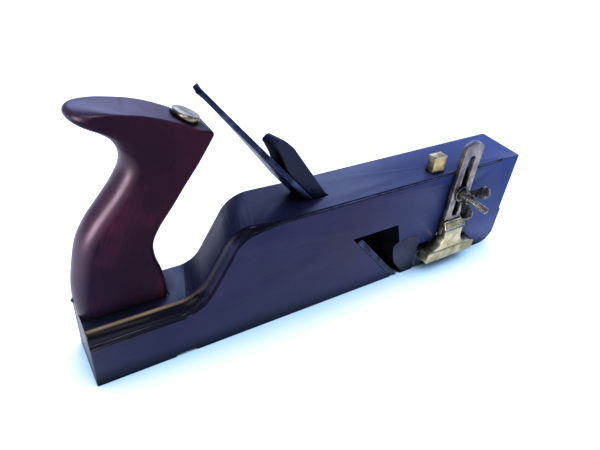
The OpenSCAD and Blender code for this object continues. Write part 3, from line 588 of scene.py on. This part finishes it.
# forged iron with a laid steel edge, blue-black, a little bright at its corners; its hollows reach far, so
# the blade in the throat is darkened with painted shade
forgedIron = metalFinish("forgedIronAndSteel", {
    "colours": ("#161a28", "#252c42", "#3e4966"), "wornColour": "#8f9cc0",
    "roughness": (0.30, 0.5), "patchMm": 9.0, "bumpMm": 0.03, "brushed": (0.1, 1, 0.1), "hollowMm": 22})
# plain steel gone dark, grey with a soft sheen
plainSteel = metalFinish("darkSteel", {
    "colours": ("#2c2e33", "#41454b", "#60656c"), "wornColour": "#a9aeb5",
    "roughness": (0.3, 0.48), "patchMm": 4.0, "bumpMm": 0.02})
print("materials are made")


copying = {
    "mergeMm": 0.002,  # points nearer than this become one
    "flatDegrees": 0.4,  # faces that differ less than this become one
    "cornerDegrees": 32,  # sharper corners than this are rounded
}


def roundedCopy(nodeName, bevelMm, segments, material):
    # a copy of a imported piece: doubles merged, flat triangles joined, corners rounded by a bevel
    source = frame["nodes"][nodeName]
    mesh = source.data.copy()
    mesh.name = nodeName + "_dressed"
    work = bmesh.new()
    work.from_mesh(mesh)
    bmesh.ops.remove_doubles(work, verts=work.verts, dist=copying["mergeMm"] * mm)
    bmesh.ops.dissolve_limit(work, angle_limit=math.radians(copying["flatDegrees"]),
                             verts=work.verts, edges=work.edges)
    work.to_mesh(mesh)
    work.free()
    mesh.materials.clear()
    mesh.materials.append(material)
    shadeSmooth(mesh)
    made = newObject(nodeName + "_dressed", mesh)
    bevel = made.modifiers.new("roundedCorners", "BEVEL")
    bevel.width = bevelMm * mm
    bevel.segments = segments
    bevel.limit_method = "ANGLE"
    bevel.angle_limit = math.radians(copying["cornerDegrees"])
    bevel.use_clamp_overlap = False
    bevel.harden_normals = True
    takeEvaluated(made)
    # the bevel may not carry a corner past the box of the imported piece
    corners = np.array([corner[:] for corner in source.bound_box])
    points = np.empty(len(made.data.vertices) * 3)
    made.data.vertices.foreach_get("co", points)
    held = np.clip(points.reshape(-1, 3), corners.min(axis=0), corners.max(axis=0))
    made.data.vertices.foreach_set("co", held.ravel())
    made.data.update()
    seat(made, nodeName)


roundedNodes = {
    # node: (radius of its corners in mm, segments of the bevel, its finish)
    "stock": (0.65, 2, ebonisedWood),
    "shoulder_boxing": (0.2, 2, boxwood),
    "iron": (0.35, 2, forgedIron),
    "wedge": (0.5, 2, ebonisedWedge),
    "nicker_bar": (0.3, 2, brightBrass),
    "nicker_cutter": (0.12, 2, plainSteel),
    "depth_stop_arm": (0.35, 2, darkArm),
    "depth_stop_foot": (0.6, 2, brass),
    "fence_bushes": (0.25, 2, brass),
    "tote_nut": (0.45, 2, paleBrass),
    "stud_washer": (0.25, 2, brownBrass),
    "wing_nut": (0.7, 3, brownBrass),
}
for nodeName, (bevelMm, segments, finish) in roundedNodes.items():
    roundedCopy(nodeName, bevelMm, segments, finish)

keptNodes = {
    # node that stays as it was packed: its finish
    "tote_bolt": plainSteel, "heel_brad": plainSteel, "nicker_rivet": plainSteel,
    "depth_stop_rivets": brass, "stud_bush": brass,
}
for nodeName, finish in keptNodes.items():
    carried = frame["nodes"][nodeName].data
    carried.materials.clear()
    carried.materials.append(finish)
print("rounded copies are made")

tote = {
    # measured from the heel corner; each row is back x, back z, front x, front z, thickness, from the
    # foot up to the crown
    "stations": [
        (0.4, 31, 50.4, 31, 19.5), (-0.6, 46, 50.2, 45, 19.5), (-0.2, 58, 48.4, 58, 19.5),
        (2, 71, 45.6, 68, 19.75), (6, 87, 45, 79, 20.0), (12, 98.4, 49.5, 89.5, 20.25),
        (20.4, 109, 57, 100.5, 20.62), (28, 118.8, 65, 113, 21.0), (33, 128.3, 72, 123.5, 21.5),
        (33.2, 136.5, 77.5, 133, 22), (29.5, 143.6, 80.2, 137.6, 22), (22.6, 149.6, 80.8, 139, 22),
        (14.8, 154.6, 80.6, 140, 22), (11.8, 158.6, 79.8, 141, 22), (12.8, 161.2, 77.4, 142.6, 22),
        (15.8, 162.1, 71.5, 145, 22), (21.5, 161.9, 63, 149.6, 22), (29, 160.5, 54, 153.6, 21.8),
        (36, 158.7, 46, 156.3, 21.3),
    ],
    "rowsPerStation": 6,
    "middleYMm": 25.0,
    "backRoundMm": 11.0,
    "frontRoundMm": 4.0,
    "pointsAcross": {"front": 5, "corner": 8, "side": 12, "back": 14},  # of half an outline
    "nutMm": (69.5, 25.0, 150.0),
    "nutLeanDegrees": 24.0,
    "nutDepthMm": 3.4,
    "recessRadiusMm": 8.1,
    "recessReachMm": 9.0,  # how far the cutter of the recess passes the top
    "footMm": ((0.1, 15.3, 31.05), (50.35, 34.7, 38.5)),  # the square foot: its low and its high corner
    "sharpDegrees": 40,  # edges sharper than this aren't smoothed
}


def throughStations(table, perStep):
    # Catmull-Rom curve through the rows of a table, each column on its own: half of 2 p1 + (p2 - p0) t
    # + (2 p0 - 5 p1 + 4 p2 - p3) t squared + (3 p1 - p0 - 3 p2 + p3) t cubed
    table = np.asarray(table, float)
    padded = np.vstack([2 * table[0] - table[1], table, 2 * table[-1] - table[-2]])
    t = np.linspace(0, 1, perStep, endpoint=False)[:, None]
    p0, p1, p2, p3 = (padded[i:len(padded) - 3 + i, None, :] for i in range(4))
    between = 0.5 * (2 * p1 + (p2 - p0) * t + (2 * p0 - 5 * p1 + 4 * p2 - p3) * t ** 2
                     + (3 * p1 - p0 - 3 * p2 + p3) * t ** 3)
    return np.vstack([between.reshape(-1, table.shape[1]), table[-1:]])


def toteSection(length, thick):
    # half outline from the front middle to the back middle: flat front, quarter round, side, and half an
    # ellipse as along = back (1 - sin), across = half the thickness x cos
    points = tote["pointsAcross"]
    back = min(tote["backRoundMm"], length / 2)
    front = min(tote["frontRoundMm"], thick / 2, length / 4)
    turn = np.linspace(0, math.pi / 2, points["corner"])
    flat = np.linspace(0, 1, points["front"])[:-1]
    side = np.linspace(0, 1, points["side"])[1:-1]
    sweep = np.linspace(0, math.pi / 2, points["back"])
    along = np.concatenate([np.full(len(flat), length), length - front + front * np.cos(turn),
                            length - front + side * (back - length + front), back * (1 - np.sin(sweep))])
    across = np.concatenate([flat * (thick / 2 - front), thick / 2 - front + front * np.sin(turn),
                             np.full(len(side), thick / 2), thick / 2 * np.cos(sweep)])
    return along, across


def makeTote():
    # each ring is its back point + its run to the front x along, and the middle + across, both halves
    rings = []
    for backX, backZ, frontX, frontZ, thick in throughStations(tote["stations"], tote["rowsPerStation"]):
        run = np.array([frontX - backX, frontZ - backZ])
        length = np.linalg.norm(run)
        run = run / length
        along, across = toteSection(length, thick)
        along = np.concatenate([along, along[-2:0:-1]])
        across = np.concatenate([-across, across[-2:0:-1]])
        rings.append(np.stack([backX + run[0] * along, tote["middleYMm"] + across,
                               backZ + run[1] * along], axis=-1))
    mesh = meshFromGrid("tote_dressed", np.array(rings) * mm + heelCorner, closeAround=True, capEnds=True)
    faceOutwards(mesh)
    mesh.materials.append(handleWood)
    shadeSmooth(mesh)
    made = newObject("tote_dressed", mesh)
    # recess of the nut: a short cylinder along the bolt's line, a little wider than the nut
    lean = math.radians(tote["nutLeanDegrees"])
    axis = np.array([math.sin(lean), 0.0, math.cos(lean)])
    forward = np.array([math.cos(lean), 0.0, -math.sin(lean)])
    sideways = np.array([0.0, 1.0, 0.0])
    angle = np.linspace(0, 2 * math.pi, 64, endpoint=False)[:, None]
    ring = forward * np.cos(angle) + sideways * np.sin(angle)
    cutterGrid = np.array([np.array(tote["nutMm"]) + ring * tote["recessRadiusMm"] + axis * reach
                           for reach in (-tote["nutDepthMm"] - 0.1, tote["recessReachMm"])])
    cutterMesh = meshFromGrid("nutRecess", cutterGrid * mm + heelCorner, closeAround=True, capEnds=True)
    faceOutwards(cutterMesh)
    cutter = newObject("nutRecess", cutterMesh)
    cut = made.modifiers.new("nutRecess", "BOOLEAN")
    cut.operation = "DIFFERENCE"
    cut.solver = "EXACT"
    cut.object = cutter
    takeEvaluated(made)
    bpy.data.objects.remove(cutter)
    # the foot is one more closed shell in the same mesh
    low, high = (np.array(corner) * mm + heelCorner for corner in tote["footMm"])
    work = bmesh.new()
    work.from_mesh(made.data)
    foot = bmesh.ops.create_cube(work, size=1.0)
    bmesh.ops.scale(work, vec=high - low, verts=foot["verts"])
    bmesh.ops.translate(work, vec=(high + low) / 2, verts=foot["verts"])
    work.to_mesh(made.data)
    work.free()
    made.data.set_sharp_from_angle(angle=math.radians(tote["sharpDegrees"]))
    seat(made, "tote")


makeTote()
print("tote is made")

stud = {
    "centreMm": (101.8, 66.0),
    "innerYMm": -7.0,
    "outerYMm": -47.5,
    "radiusMm": 2.5,
    "pitchMm": 1.1,
    "depthMm": 0.45,
    "threadFromYMm": -18.8,
    "threadFadeMm": 1.0,
    "tipMm": 0.7,  # length of the rounded tip
    "tipShare": 0.82,  # its radius as a share of the full one
    "rows": 400,
    "around": 40,
    "sharpDegrees": 50,
}


def makeStud():
    # radius = (full radius - depth x wave of (distance / pitch + angle / full turn)) x the tip's share,
    # which rises to 1 with the square root of the distance from the tip
    y = np.linspace(stud["innerYMm"], stud["outerYMm"], stud["rows"])[:, None]
    angle = np.linspace(0, 2 * math.pi, stud["around"], endpoint=False)[None, :]
    phase = (y / stud["pitchMm"] + angle / (2 * math.pi)) % 1.0
    wave = np.abs(2 * phase - 1)
    tip = np.clip((y - stud["outerYMm"]) / stud["tipMm"], 0, 1)
    threaded = np.clip((stud["threadFromYMm"] - y) / stud["threadFadeMm"], 0, 1)
    radius = ((stud["radiusMm"] - stud["depthMm"] * wave * threaded)
              * (stud["tipShare"] + (1 - stud["tipShare"]) * tip ** 0.5))
    grid = np.stack([stud["centreMm"][0] + radius * np.cos(angle), y + 0 * angle,
                     stud["centreMm"][1] + radius * np.sin(angle)], -1) * mm
    mesh = meshFromGrid("stop_stud_dressed", grid, closeAround=True, capEnds=True)
    faceOutwards(mesh)
    mesh.materials.append(brownBrass)
    shadeSmooth(mesh)
    mesh.set_sharp_from_angle(angle=math.radians(stud["sharpDegrees"]))
    seat(newObject("stop_stud_dressed", mesh), "stop_stud")


makeStud()
print("stud is made")
